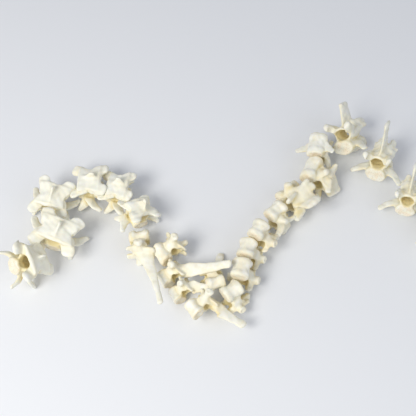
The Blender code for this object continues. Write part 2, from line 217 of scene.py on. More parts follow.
class Clay:
    """A block of distances round one bone, which forms are joined to and cut from."""

    def __init__(self, forms: list[Sweep]) -> None:
        """Makes the block large enough for the forms, and works them in.

        Args:
            forms: The forms in the order that they are joined or cut.
        """
        boxes = [form.box() for form in forms if not form.cuts]
        self.low = np.min([low for low, _ in boxes], axis=0) - 2 * GRAIN
        high = np.max([high for _, high in boxes], axis=0) + 2 * GRAIN
        self.counts = np.ceil((high - self.low) / GRAIN).astype(int) + 1
        self.field = np.full(self.counts, FAR, np.float32)
        for form in forms:
            self.work(form)
        self.wear()

    def wear(self) -> None:
        """Wears the bone a little, so that no needle or sliver thinner than about a grain is left."""
        for axis in range(3):
            rows = np.moveaxis(self.field, axis, 0)
            rows[1:-1] = (rows[:-2] + 2 * rows[1:-1] + rows[2:]) / 4

    def work(self, form: Sweep) -> None:
        """Joins or cuts one form, inside its own box alone.

        Args:
            form: The form.
        """
        low, high = form.box()
        first = np.clip(((low - MARGIN - self.low) / GRAIN).astype(int), 0, self.counts)
        last = np.clip(((high + MARGIN - self.low) / GRAIN).astype(int) + 1, 0, self.counts)
        if np.any(last <= first):
            return
        rows = [self.low[k] + GRAIN * np.arange(first[k], last[k]) for k in range(3)]
        points = np.stack(np.meshgrid(*rows, indexing="ij"), axis=-1).astype(np.float32)
        window = tuple(slice(a, b) for a, b in zip(first, last))
        far_off = form.distance(points)
        before = self.field[window]
        if form.cuts:
            self.field[window] = -smooth_least(-before, far_off, form.blend.value)
        else:
            self.field[window] = smooth_least(before, far_off, form.blend.value)

    def read(self, points: np.ndarray) -> np.ndarray:
        """The distances at points, between the block's own.

        Args:
            points: Points in mm.

        Returns:
            A distance for each.
        """
        place = np.clip((points - self.low) / GRAIN, 0.0, self.counts - 1.001)
        corner = place.astype(int)
        part = place - corner
        total = np.zeros(len(points))
        for step in np.ndindex(2, 2, 2):
            weight = np.prod(np.where(step, part, 1.0 - part), axis=1)
            total += weight * self.field[tuple((corner + step).T)]
        return total

    def skin(self) -> tuple[np.ndarray, np.ndarray]:
        """The surface where the distance is 0, as one vertex in each cell that it crosses.

        Returns:
            The vertices in mm, and four vertex numbers for each face.
        """
        inside = self.field < 0.0
        corners = [
            tuple(slice(s, n - 1 + s) for s, n in zip(step, self.counts)) for step in np.ndindex(2, 2, 2)
        ]
        some = np.zeros(self.counts - 1, bool)
        every = np.ones(self.counts - 1, bool)
        for corner in corners:
            some |= inside[corner]
            every &= inside[corner]
        cells = np.argwhere(some & ~every)
        number = np.full(self.counts - 1, -1, np.int64)
        number[tuple(cells.T)] = np.arange(len(cells))
        total = np.zeros((len(cells), 3))
        found = np.zeros(len(cells))
        for start in np.ndindex(2, 2, 2):
            for axis in range(3):
                if start[axis]:
                    continue
                end = list(start)
                end[axis] = 1
                one = self.field[tuple((cells + start).T)]
                two = self.field[tuple((cells + end).T)]
                crossed = (one < 0.0) != (two < 0.0)
                share = np.where(crossed, one / np.where(crossed, one - two, 1.0), 0.0)
                place = np.tile(np.array(start, float), (len(cells), 1))
                place[:, axis] = share
                total += place * crossed[:, None]
                found += crossed
        vertices = self.low + GRAIN * (cells + total / found[:, None])
        faces = self._largest(self._faces(inside, number), len(cells))
        used, faces = np.unique(faces, return_inverse=True)
        return vertices[used], faces.reshape(-1, 4)

    @staticmethod
    def _largest(faces: np.ndarray, total: int) -> np.ndarray:
        """Drops the loose scraps that the cuts left, so that one closed surface stays.

        Args:
            faces: Four vertex numbers for each face.
            total: How many vertices there are.

        Returns:
            The faces of the largest surface.
        """
        label = np.arange(total)
        settled = False
        while not settled:
            spread = label.copy()
            np.minimum.at(spread, faces.ravel(), np.repeat(label[faces].min(axis=1), 4))
            spread = spread[spread]
            settled = np.array_equal(spread, label)
            label = spread
        owner = label[faces[:, 0]]
        return faces[owner == np.bincount(owner).argmax()]

    @staticmethod
    def _faces(inside: np.ndarray, number: np.ndarray) -> np.ndarray:
        """A face across each grid edge that the surface crosses.

        Args:
            inside: Which grid points are inside.
            number: The vertex number of each cell, or -1.

        Returns:
            Four vertex numbers for each face.
        """
        faces = []
        for axis in range(3):
            near = np.moveaxis(inside, axis, 0)
            cell = np.moveaxis(number, axis, 0)
            change = near[:-1, 1:-1, 1:-1] != near[1:, 1:-1, 1:-1]
            i, j, k = np.nonzero(change)
            quad = np.stack(
                [cell[i, j, k], cell[i, j + 1, k], cell[i, j + 1, k + 1], cell[i, j, k + 1]], axis=1
            )
            # Faces look outwards, and the middle axis turns the other way from the two beside it.
            backward = near[:-1, 1:-1, 1:-1][i, j, k] == (axis == 1)
            quad[backward] = quad[backward][:, ::-1]
            faces.append(quad)
        return np.concatenate(faces)


@dataclass(frozen=True)
class Lie:
    """How one bone lies.

    Its body's middle is at a column and row of the picture. Ahead is where its head end points and back where
    its spine side points, on the floor plan (x right, y away, z up). Size scales the whole bone, and long and
    wide its length and width again.
    """

    column: float
    row: float
    ahead: Triple
    back: Triple
    size: float = 1.0
    long: float = 1.0
    wide: float = 1.0

    def stretch(self) -> np.ndarray:
        """The bone's scale along its length, its width and its height."""
        return np.array((self.long, self.wide, 1.0)) * self.size

    def turn(self) -> Matrix:
        """The turn from the bone's own frame to the floor plan."""
        ahead = Vector(self.ahead).normalized()
        back = Vector(self.back)
        back = (back - ahead * back.dot(ahead)).normalized()
        return Matrix((ahead, back.cross(ahead), back)).transposed()

    def place(self, height: float) -> Vector:
        """The point at a height that the picture shows at this column and row.

        Args:
            height: The height above the floor in mm.

        Returns:
            The point in mm.
        """
        eye = View.eye()
        right = Vector((1.0, 0.0, 0.0)) * (self.column - PICTURE_SIDE / 2) * MM_PER_PIXEL
        upward = Vector((0.0, math.sin(LOOK_DOWN), math.cos(LOOK_DOWN)))
        ray = right + upward * (PICTURE_SIDE / 2 - self.row) * MM_PER_PIXEL - eye
        return eye + ray * ((height - eye.z) / ray.z) - Vector((*CHAIN_MIDDLE, 0.0))


class View:
    """The camera that sees the floor as the picture does."""

    sensor: float = 36.0

    @staticmethod
    def eye() -> Vector:
        """The camera's place in mm, from the point of the floor under the picture's middle."""
        return Vector((0.0, -math.cos(LOOK_DOWN), math.sin(LOOK_DOWN))) * LOOK_DISTANCE

    def build(self) -> bpy.types.Object:
        """Puts the camera in the scene and looks through it.

        Returns:
            The camera's object.
        """
        data = bpy.data.cameras.new("view")
        data.sensor_width = self.sensor
        data.lens = self.sensor * LOOK_DISTANCE / (PICTURE_SIDE * MM_PER_PIXEL)
        data.clip_start = 0.01
        camera = bpy.data.objects.new("view", data)
        camera.location = (self.eye() - Vector((*CHAIN_MIDDLE, 0.0))) * MM
        camera.rotation_euler = (math.pi / 2 - LOOK_DOWN, 0.0, 0.0)
        bpy.context.scene.collection.objects.link(camera)
        bpy.context.scene.camera = camera
        return camera


@dataclass
class Wave:
    """Soft swells that keep a bone's surface from being too even."""

    seed: int
    lengths: Sizes = (3.2, 4.6, 6.5, 9.0, 13.0)
    height: float = 0.055

    def shift(self, points: np.ndarray) -> np.ndarray:
        """How far each point is pushed out or in.

        Args:
            points: Points in mm.

        Returns:
            A distance in mm for each.
        """
        rng = np.random.default_rng(self.seed)
        total = np.zeros(len(points))
        for length in self.lengths:
            for _ in range(3):
                way = rng.normal(size=3)
                way *= 2 * math.pi / length / np.linalg.norm(way)
                phase = rng.uniform(0, 2 * math.pi)
                total += self.height * math.sqrt(length / 5) * np.sin(points @ way + phase)
        return total


@dataclass
class Bone:
    """What every bone of the chain has: a name, a lie, a finish, and forms that are worked together."""

    name: str
    lie: Lie
    slot: Slot = Slot.CHEST
    seed: int = 0

    def forms(self) -> Iterator[Sweep]:
        """The bone's forms in the order that they are joined and cut."""
        raise NotImplementedError

    def masks(self, points: np.ndarray) -> dict[str, np.ndarray]:
        """How porous and how stained the surface is, each from 0 to 1.

        Args:
            points: Points in mm, in the bone's own frame.

        Returns:
            A share for each point, by the mask's name.
        """
        raise NotImplementedError

    def build(self) -> bpy.types.Object:
        """Works the forms into a mesh, dresses it with its masks and lays it in its place.

        Returns:
            The bone's object.
        """
        clay = Clay(list(self.forms()))
        points, faces = clay.skin()
        mesh = self._mesh(points, faces)
        normals = np.empty(len(points) * 3, np.float32)
        mesh.vertices.foreach_get("normal", normals)
        normals = normals.reshape(-1, 3)
        # The open mask sets where the finish paints shade into hollows and light onto the most open faces.
        self._mask(mesh, "open", self._openness(clay, points, normals))
        for name, values in self.masks(points).items():
            self._mask(mesh, name, values)
        points = points + normals * Wave(self.seed).shift(points)[:, None]
        points = self._laid(points)
        mesh.vertices.foreach_set("co", (points * MM).astype(np.float32).ravel())
        mesh.update()
        piece = bpy.data.objects.new(self.name + "_bone", mesh)
        bpy.context.scene.collection.objects.link(piece)
        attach(piece, "root")
        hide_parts(self.name)
        LOG.info("%s: %d faces", self.name, len(faces))
        return piece

    def _mesh(self, points: np.ndarray, faces: np.ndarray) -> bpy.types.Mesh:
        """A smooth mesh from vertices and faces of four.

        Args:
            points: The vertices.
            faces: Their numbers.

        Returns:
            The mesh.
        """
        mesh = bpy.data.meshes.new(self.name)
        mesh.vertices.add(len(points))
        mesh.vertices.foreach_set("co", points.astype(np.float32).ravel())
        mesh.loops.add(faces.size)
        mesh.loops.foreach_set("vertex_index", faces.astype(np.int32).ravel())
        mesh.polygons.add(len(faces))
        mesh.polygons.foreach_set("loop_start", np.arange(0, faces.size, 4, dtype=np.int32))
        mesh.update(calc_edges=True)
        mesh.shade_smooth()
        return mesh

    @staticmethod
    def _openness(clay: Clay, points: np.ndarray, normals: np.ndarray) -> np.ndarray:
        """How open the space in front of each point is, from 0 in a deep hollow to 1.

        Args:
            clay: The bone's distances.
            points: Its vertices.
            normals: Their normals.

        Returns:
            A share for each.
        """
        reaches = (1.0, 2.2, 4.5)
        shares = [np.clip(clay.read(points + normals * reach) / reach, 0.0, 1.0) for reach in reaches]
        return (np.mean(shares, axis=0) + np.min(shares, axis=0)) / 2

    @staticmethod
    def _mask(mesh: bpy.types.Mesh, name: str, values: np.ndarray) -> None:
        """Stores a number on each vertex for the finish to read.

        Args:
            mesh: The mesh.
            name: The mask's name.
            values: A number for each vertex.
        """
        mask = mesh.attributes.new(name, "FLOAT", "POINT")
        mask.data.foreach_set("value", values.astype(np.float32))

    def _laid(self, points: np.ndarray) -> np.ndarray:
        """Turns the bone, puts it where the picture shows it and grinds its resting flat.

        Args:
            points: The vertices in the bone's own frame.

        Returns:
            The vertices on the floor plan, in mm.
        """
        turned = (points * self.lie.stretch()) @ np.array(self.lie.turn()).T
        height = -turned[:, 2].min() - REST_FLAT
        turned += np.array(self.lie.place(height))
        turned[:, 2] = np.maximum(turned[:, 2], 0.0)
        return turned


@dataclass
class Vertebra(Bone):
    """A vertebra's body, arch, canal and spine, whose sizes each region of the back sets. Sizes are in mm."""

    length: float = 12.2
    width: float = 10.4
    height: float = 8.0
    body_wide: Sizes = (0.98, 1.01, 0.87, 0.81, 0.83, 0.98, 0.94)
    body_high: Sizes = (0.98, 1.01, 0.87, 0.81, 0.83, 0.98, 0.94)
    arch_length: float = 9.4
    arch_width: float = 10.6
    arch_height: float = 8.6
    canal_width: float = 6.4
    canal_height: float = 5.6
    spine: float = 20.0
    lean: float = 40.0
    spine_root: Triple = (-1.5, 0.0, 10.0)
    spine_broad: Sizes = (9.4, 7.0, 5.8, 5.2, 5.2)
    spine_thick: Sizes = (3.6, 2.4, 2.0, 2.2, 2.8)

    def vary(self, rng: random.Random) -> None:
        """Makes the body a little longer, wider or higher, as real ones are, by the solids' own draws.

        Args:
            rng: The draw.
        """
        self.length *= 1 + rng.uniform(-SIZE_SPREAD, SIZE_SPREAD)
        self.width *= 1 + rng.uniform(-SIZE_SPREAD, SIZE_SPREAD)
        self.height *= 1 + rng.uniform(-SIZE_SPREAD, SIZE_SPREAD)
        # The solids draw their tone here, which the finish has no use for.
        rng.uniform(-SIZE_SPREAD, SIZE_SPREAD)

    def body(self) -> Iterator[Sweep]:
        """The body: waisted, with flared ends, a low keel and a dished tail end."""
        half = self.length / 2
        broad = tuple(self.width * share for share in self.body_wide)
        thick = tuple(self.height * share for share in self.body_high)
        yield Sweep((-half + 0.6, 0, 0), (half - 1.2, 0, 0), broad, thick, caps=(0.6, 1.2))
        keel = self.height * 0.36
        yield Sweep((-half * 0.7, 0, -keel), (half * 0.6, 0, -keel), (1.8, 2.2, 1.8), (1.8, 2.2, 1.6))

    def dished_ends(self) -> Iterator[Sweep]:
        """The hollow of the body's tail end and the shallow one of its head end."""
        half = self.length / 2
        across = (self.width * 0.36, self.height * 0.34)
        yield blob((-half - 0.9, 0, 0), (1.7, *across), Blend.NARROW, cuts=True)
        yield blob((half + 0.9, 0, 0), (1.2, *across), Blend.NARROW, cuts=True)

    def ring_of_arch(self) -> Iterator[Sweep]:
        """The ring of bone over the body, filled until the canal is cut."""
        half = self.arch_length / 2
        middle = self.height / 2 + self.canal_height / 2
        broad = (self.arch_width * 0.9, self.arch_width, self.arch_width * 0.9)
        thick = (self.arch_height * 0.92, self.arch_height, self.arch_height * 0.88)
        yield Sweep((-half + 0.8, 0, middle), (half - 0.8, 0, middle), broad, thick, caps=(0.8, 0.8))

    def canal(self) -> Iterator[Sweep]:
        """The canal, which widens towards both mouths."""
        middle = self.height / 2 + self.canal_height / 2 - 0.3
        wide = self.canal_width
        high = self.canal_height
        flare = 1.35
        yield Sweep(
            (-self.length, 0, middle), (self.length, 0, middle),
            (wide * flare, wide * 1.08, wide, wide * 1.08, wide * flare),
            (high * flare, high * 1.08, high, high * 1.08, high * flare),
            blend=Blend.CRISP, cuts=True,
        )

    def notches(self) -> Iterator[Sweep]:
        """The notches where nerves leave, before and behind the arch's feet."""
        side = self.arch_width * 0.5
        low = self.height / 2 + self.canal_height * 0.3
        half = self.arch_length / 2
        for end, size in ((-half - 0.8, 2.3), (half + 0.8, 1.7)):
            yield from Sweep(
                (end, side * 0.3, low), (end, side * 1.7, low), (size * 2,), (size * 1.7,),
                face=(0, 0, 1), blend=Blend.NARROW, cuts=True,
            ).both()

    def spine_blade(self) -> Iterator[Sweep]:
        """The spine over the arch, with a thicker tip."""
        angle = math.radians(self.lean)
        root = Vector(self.spine_root)
        tip = root + Vector((-math.sin(angle), 0, math.cos(angle))) * (self.spine + self.spine_thick[0])
        yield Sweep(
            tuple(root), tuple(tip), self.spine_broad, self.spine_thick, (0, 1, 0),
            bow=(-0.03 * self.spine * math.cos(angle), 0, -0.03 * self.spine * math.sin(angle)),
            caps=(1.0, 1.6),
        )

    def processes(self) -> Iterator[Sweep]:
        """The paired processes of the region."""
        yield from ()

    def hollows(self) -> Iterator[Sweep]:
        """The region's own dents and holes."""
        yield from ()

    def forms(self) -> Iterator[Sweep]:
        """The bone's forms in the order that they are joined and cut."""
        yield from self.body()
        yield from self.ring_of_arch()
        yield from self.processes()
        yield from self.spine_blade()
        yield from self.dished_ends()
        yield from self.canal()
        yield from self.notches()
        yield from self.hollows()

    def masks(self, points: np.ndarray) -> dict[str, np.ndarray]:
        """Porous on the body's two end faces, and stained on the canal's wall.

        Args:
            points: Points in mm.

        Returns:
            A share for each point, by the mask's name.
        """
        from_end = np.abs(np.abs(points[:, 0]) - self.length / 2)
        off_axis = np.hypot(points[:, 1] / self.width, points[:, 2] / self.height) * 2
        from_wall = np.min([np.abs(form.distance(points)) for form in self.canal()], axis=0)
        return {
            "porous": np.clip(1.2 - from_end / 0.9, 0, 1) * np.clip((1.15 - off_axis) / 0.3, 0, 1),
            "stained": np.clip(1.3 - from_wall / 0.8, 0, 1),
        }


@dataclass
class NeckVertebra(Vertebra):
    """A neck vertebra: a broad roof with four joints at its corners, and wings with a hole at their root."""

    slot: Slot = Slot.NECK
    length: float = 19.0
    width: float = 11.0
    height: float = 8.0
    arch_length: float = 15.0
    arch_width: float = 14.5
    arch_height: float = 10.0
    canal_width: float = 7.6
    canal_height: float = 6.2
    spine_root: Triple = (-1.0, 0.0, 11.0)
    spine_broad: Sizes = (13.0, 9.0, 5.0)
    spine_thick: Sizes = (3.0, 2.0, 1.8)
    roof_width: Sizes = (19.5, 19.0, 16.0, 15.0, 17.0, 18.5)
    roof_thick: float = 3.6

    def processes(self) -> Iterator[Sweep]:
        """The roof, the four joints and the two-pointed wings."""
        half = self.arch_length / 2
        height = self.height / 2 + self.canal_height + self.roof_thick * 0.3
        yield Sweep(
            (-half, 0, height + 0.2), (half, 0, height - 0.7), self.roof_width, (self.roof_thick,),
            caps=(1.6, 1.6),
        )
        joint_ahead = Sweep(
            (3, 5, 7.6), (11.6, 8.8, 7.4), (8.5, 8.4, 7.2), (3.6, 3.2, 3.0), (0, -0.35, 1), caps=(2, 3)
        )
        joint_behind = Sweep(
            (-3, 5, 9.6), (-11, 8.0, 10.8), (8.5, 8, 7.4), (3.6, 3.2, 3.2), (0, 0.35, 1), caps=(2, 3)
        )
        wing_behind = Sweep(
            (1, 3.5, 1.5), (-8.5, 13.8, -1.4), (10, 8, 6, 4), (3.2, 2.6, 2.2, 2.2), (-0.2, -0.3, 1),
            bow=(1, 2, 0), caps=(2, 1.4),
        )
        wing_ahead = Sweep(
            (2, 3.5, -1), (8, 10.4, -5.8), (8, 7, 5.5, 3.6), (3.2, 2.6, 2.2, 2), (-0.3, 0.5, 1),
            bow=(-1, 1.5, 0.5), caps=(2, 1.4),
        )
        for form in (joint_ahead, joint_behind, wing_behind, wing_ahead):
            yield from form.both()

    def hollows(self) -> Iterator[Sweep]:
        """The hole along each wing's root, the joints' faces and the dents of the roof."""
        yield from Sweep(
            (-9, 6.4, 2.6), (8, 6.1, 2.2), (2.7, 2.3, 2.9), (2.3,), blend=Blend.CRISP, cuts=True
        ).both()
        yield from blob((12.4, 9.2, 11.2), (3.6, 3.2, 2.4), Blend.CRISP, cuts=True).both()
        yield from blob((-1.5, 6.2, 14.0), (4.5, 2.6, 2.0), Blend.WIDE, cuts=True).both()

    def notches(self) -> Iterator[Sweep]:
        """The notches where nerves leave, low between the joints and the body."""
        for end, side in ((-9.5, 9.0), (9.5, 9.0)):
            yield from Sweep(
                (end, 3.0, 5.6), (end, side, 5.2), (6.0, 5.0), (2.8, 3.2), blend=Blend.NARROW, cuts=True
            ).both()


@dataclass
class ChestVertebra(Vertebra):
    """A chest vertebra: a long spine, short rib joints, and dents for the ribs' heads."""

    slot: Slot = Slot.CHEST
    rib_reach: float = 9.8

    def processes(self) -> Iterator[Sweep]:
        """The joints before and behind, and the stout rib processes with their facets."""
        joint_ahead = Sweep(
            (1, 3.2, 9.2), (6.6, 3.6, 9.5), (4.6, 4.4, 4.0), (2.4, 2, 1.8), (0, -0.2, 1), caps=(1, 1.6)
        )
        joint_behind = Sweep(
            (-1, 3, 10.2), (-6.8, 3, 11.6), (4.6, 4.4, 4.0), (2.4, 2, 1.8), (0, 0.2, 1), caps=(1, 1.6)
        )
        rib_tip = (0.5, self.rib_reach, 7.4 + self.rib_reach / 3.5)
        rib_joint = Sweep((1, 3.5, 8.2), rib_tip, (6.4, 4.6, 4.4, 5.4), (5.2, 3.8, 3.6, 4.6), caps=(1, 1.7))
        for form in (joint_ahead, joint_behind, rib_joint):
            yield from form.both()

    def hollows(self) -> Iterator[Sweep]:
        """The dents for the ribs' heads and on the rib processes."""
        side = self.width * 0.47
        high = self.height * 0.3
        half = self.length / 2
        yield from blob((half + 0.2, side + 0.6, high), (1.9, 1.5, 2.0), Blend.CRISP, cuts=True).both()
        yield from blob((-half - 0.2, side + 0.6, high), (1.9, 1.5, 2.0), Blend.CRISP, cuts=True).both()
        yield from blob((0.8, self.rib_reach + 2.4, 9.0), (1.8, 1.6, 1.8), Blend.CRISP, cuts=True).both()


@dataclass
class LastChestVertebra(Vertebra):
    """One of the last chest vertebrae: a short, broad spine, high joints and small points behind."""

    slot: Slot = Slot.CHEST
    length: float = 14.4
    width: float = 11.6
    height: float = 8.6
    arch_length: float = 11.5
    arch_width: float = 11.4
    arch_height: float = 9.4
    spine_root: Triple = (-1.0, 0.0, 10.8)
    spine_broad: Sizes = (13.0, 11.8, 11.2, 10.2)
    spine_thick: Sizes = (3.0, 2.2, 1.9, 2.5)

    def processes(self) -> Iterator[Sweep]:
        """The joints with their knobs, the points behind and the low rib processes."""
        joint_ahead = Sweep(
            (2, 4, 9.6), (7.8, 5, 12.0), (5.6, 5.0, 4.2), (3, 2.8, 2.6), (0, -0.8, 0.7), caps=(1, 1.6)
        )
        joint_behind = Sweep(
            (-2, 2.8, 10.4), (-8.8, 3, 11.3), (4.8, 4.2, 3.8), (2.8, 2.5, 2.2), (0, 0.7, 0.8), caps=(1, 1.4)
        )
        point_behind = Sweep(
            (-2, 4.2, 8.6), (-8.4, 6.2, 9.8), (4, 3, 2.2), (2.6, 2.2, 1.8), (0, -1, 0.2), caps=(1, 0.8)
        )
        rib_joint = Sweep((1.5, 4, 4.6), (0.5, 8.4, 5.4), (6.4, 5.2, 4.8), (4.2, 3.4, 3.6), caps=(1, 1.2))
        for form in (joint_ahead, joint_behind, point_behind, rib_joint):
            yield from form.both()

    def hollows(self) -> Iterator[Sweep]:
        """The dents for the ribs' heads."""
        side = self.width * 0.47
        half = self.length / 2
        high = self.height * 0.2
        yield from blob((half - 0.6, side + 0.9, high), (2.0, 1.6, 2.0), Blend.CRISP, cuts=True).both()


@dataclass
class LoinVertebra(Vertebra):
    """A loin vertebra: a stout body, a broad spine, high joints, and flat wings that sweep forward."""

    slot: Slot = Slot.LOIN
    wing: float = 1.0
    length: float = 18.4
    width: float = 13.4
    height: float = 9.4
    arch_length: float = 14.5
    arch_width: float = 12.4
    arch_height: float = 10.2
    canal_width: float = 8.0
    canal_height: float = 6.0
    spine_root: Triple = (-1.0, 0.0, 11.6)
    spine_broad: Sizes = (13.5, 11, 10, 9.2)
    spine_thick: Sizes = (3.2, 2.2, 1.9, 2.7)

    def processes(self) -> Iterator[Sweep]:
        """The joints with their knobs, the points behind and the wings."""
        joint_ahead = Sweep(
            (3, 4.6, 10), (11, 6.8, 13.2), (7.4, 6.4, 5.4), (3.6, 3.4, 3.2), (0, -0.85, 0.5), caps=(1, 2)
        )
        joint_behind = Sweep(
            (-4, 3.2, 11.4), (-12, 3.8, 12.6), (6.4, 5.4, 4.6), (3.2, 3, 2.6), (0, 0.8, 0.6), caps=(1, 1.6)
        )
        point_behind = Sweep(
            (-3, 4.6, 8.8), (-10.3, 6.6, 10), (4.4, 3, 2.2), (2.6, 2.2, 1.8), (0, -1, 0.2), caps=(1, 0.8)
        )
        wing = Sweep(
            (1, 4.5, 1.2), (1 + 8.6 * self.wing, 4.5 + 15.3 * self.wing, 1.2 - 5 * self.wing),
            (10.5, 7.4, 6.0, 5.2, 4.4), (3.4, 2.2, 1.8, 1.6, 1.6), (0.1, 0.25, 1),
            bow=(-1.5 * self.wing, 0, self.wing), caps=(1, 1.6),
        )
        for form in (joint_ahead, joint_behind, point_behind, wing):
            yield from form.both()

    def hollows(self) -> Iterator[Sweep]:
        """The faces of the joints ahead, and the long dents beside the spine's root."""
        yield from blob((11.0, 4.4, 12.0), (3.0, 1.7, 2.6), Blend.CRISP, cuts=True).both()
        yield from blob((-1.0, 5.2, 14.2), (4.6, 2.2, 2.2), Blend.WIDE, cuts=True).both()


@dataclass
class Sacrum(Bone):
    """The three fused vertebrae at the hips, with their wings and crests. Sizes are in mm."""

    slot: Slot = Slot.HIP
    length: float = 34.0
    front: tuple[float, float] = (15.0, 9.0)
    rear: tuple[float, float] = (8.5, 5.0)
    crests: tuple[tuple[float, float], ...] = ((8.0, 9.0), (-1.0, 7.5), (-9.5, 5.0))

    def forms(self) -> Iterator[Sweep]:
        """The bone's forms in the order that they are joined and cut."""
        half = self.length / 2
        wide = (self.rear[0], 8.4, 9.6, 10.8, self.front[0])
        high = (self.rear[1], 4.8, 5.6, 6.4, self.front[1])
        yield Sweep((0.7 - half, 0, 0), (half - 0.7, 0, 0), wide, high, caps=(0.7, 0.7))
        yield Sweep((3 - half, 0, 3.4), (half - 3, 0, 6), (7.2, 9.6, 10.8, 12.8), (6, 7.6, 8.4, 10))
        wing = Sweep((8, 5, 1), (11, 17.2, 1.8), (15, 14, 14, 12.5), (7.5, 7, 7.5, 7.5), caps=(1, 1))
        side = Sweep((2, 5, 0), (-13.5, 9.2, 0), (10, 8, 7, 5), (4.4, 3.6, 3, 2.6), caps=(1, 1.4))
        joint = Sweep(
            (8, 3.5, 7), (16.6, 6.2, 9.8), (5.4, 4.8, 4.2), (3, 2.8, 2.6), (0, -0.85, 0.5), caps=(1, 1.6)
        )
        for form in (wing, side, joint):
            yield from form.both()
        for place, height in self.crests:
            yield Sweep(
                (place, 0, 5), (place - 2.5, 0, 4.4 + height), (10, 8, 5.5), (3.2, 2.2, 2.4), (0, 1, 0),
                caps=(1, 1.2),
            )
        yield Sweep(
            (-2 * half, 0, 4), (2 * half, 0, 6.4), (3.4, 3.6, 5.0, 7.8, 11.2), (2.4, 2.6, 3.4, 5.4, 8.4),
            blend=Blend.CRISP, cuts=True,
        )
        for place in (2.5, -6.0):
            yield from Sweep(
                (place, 4.6, -4), (place, 5.4, 12), (2.2,), (1.8,), (1, 0, 0), blend=Blend.CRISP, cuts=True
            ).both()
        yield from blob((9, 19.6, 0.5), (5.6, 1.9, 3.0), Blend.NARROW, cuts=True).both()

    def masks(self, points: np.ndarray) -> dict[str, np.ndarray]:
        """Porous on the wings' rough outer faces and the two ends, and nowhere stained.

        Args:
            points: Points in mm.

        Returns:
            A share for each point, by the mask's name.
        """
        on_wing = np.clip(np.abs(points[:, 1]) - 16.2, 0, 1)
        from_end = np.abs(np.abs(points[:, 0]) - self.length / 2)
        porous = np.maximum(on_wing, np.clip(1.1 - from_end, 0, 1))
        return {"porous": porous, "stained": np.zeros(len(points))}


Number = "Sock | float"


@dataclass(frozen=True)
class Sock:
    """A value in a material's node tree, on which sums are written as Python expressions."""

    graph: "Graph"
    socket: bpy.types.NodeSocket

    def _sum(self, operation: str, first: Number, second: Number) -> Sock:
        """One Math node.

        Args:
            operation: The node's operation.
            first: Its first value.
            second: Its second value.

        Returns:
            Its result.
        """
        return self.graph.node("ShaderNodeMath", {"operation": operation}, {0: first, 1: second})

    def __add__(self, other: Number) -> Sock:
        """This plus the other."""
        return self._sum("ADD", self, other)

    __radd__ = __add__

    def __sub__(self, other: Number) -> Sock:
        """This less the other."""
        return self._sum("SUBTRACT", self, other)

    def __rsub__(self, other: Number) -> Sock:
        """The other less this."""
        return self._sum("SUBTRACT", other, self)

    def __mul__(self, other: Number) -> Sock:
        """This times the other."""
        return self._sum("MULTIPLY", self, other)

    __rmul__ = __mul__

    def most(self, other: Number) -> Sock:
        """The greater of this and the other."""
        return self._sum("MAXIMUM", self, other)

    def ramp(self, low: float, high: float) -> Sock:
        """This as a smooth step.

        Args:
            low: What becomes 0.
            high: What becomes 1.

        Returns:
            A share from 0 to 1.
        """
        settings = {"interpolation_type": "SMOOTHSTEP"}
        return self.graph.node(
            "ShaderNodeMapRange", settings, {"Value": self, "From Min": low, "From Max": high}
        )


class Graph:
    """A material's node tree, filled by one method."""

    def __init__(self, name: str) -> None:
        """Makes the material with its shader.

        Args:
            name: The material's name.
        """
        self.material = bpy.data.materials.new(name)
        self.material.use_nodes = True
        self.tree = self.material.node_tree
        self.shader = self.tree.nodes["Principled BSDF"]

    def node(self, kind: str, settings: dict, sockets: dict, output: str | int = 0) -> Sock:
        """Adds one node.

        Args:
            kind: The node's type.
            settings: Its settings, such as a Math node's operation, which are set first.
            sockets: Values or links for its inputs, by name or number.
            output: Which output to give back.

        Returns:
            That output.
        """
        node = self.tree.nodes.new(kind)
        for name, value in settings.items():
            setattr(node, name, value)
        for name, value in sockets.items():
            self.feed(node.inputs[name], value)
        return Sock(self, node.outputs[output])

    def feed(self, target: bpy.types.NodeSocket, value: Sock | float | tuple) -> None:
        """Links or sets one input.

        Args:
            target: The input.
            value: A value, or what to link.
        """
        if isinstance(value, Sock):
            self.tree.links.new(value.socket, target)
        else:
            target.default_value = value

    def finished(self, sockets: dict) -> bpy.types.Material:
        """Feeds the material's shader.

        Args:
            sockets: Values or links for its inputs, by name.

        Returns:
            The material.
        """
        for name, value in sockets.items():
            self.feed(self.shader.inputs[name], value)
        return self.material

    def mix(self, share: Sock | float, first: Sock | tuple, second: Sock | tuple) -> Sock:
        """A colour between two.

        Args:
            share: How much of the second.
            first: The first colour.
            second: The second colour.

        Returns:
            The mixed colour.
        """
        settings = {"data_type": "RGBA", "blend_type": "MIX"}
        return self.node("ShaderNodeMix", settings, {0: share, 6: first, 7: second}, 2)

    def mask(self, name: str) -> Sock:
        """The mask that is stored on the mesh under a name."""
        return self.node("ShaderNodeAttribute", {"attribute_name": name}, {}, "Fac")

    def place(self) -> Sock:
        """The place on the object, in metres."""
        return self.node("ShaderNodeTexCoord", {}, {}, "Object")

    def noise(self, size: float, detail: float = 3.0, rough: float = 0.55) -> Sock:
        """Cloudy noise.

        Args:
            size: The clouds' size in mm.
            detail: How many finer layers there are.
            rough: How strong these are.

        Returns:
            The noise, from 0 to 1.
        """
        sockets = {"Vector": self.place(), "Scale": 1 / (size * MM), "Detail": detail, "Roughness": rough}
        return self.node("ShaderNodeTexNoise", {}, sockets, "Fac")

    def cells(self, size: float) -> Sock:
        """The distance to the nearest of many scattered points.

        Args:
            size: The points' spacing in mm.

        Returns:
            The distance, 0 at a point.
        """
        return self.node(
            "ShaderNodeTexVoronoi", {}, {"Vector": self.place(), "Scale": 1 / (size * MM)}, "Distance"
        )


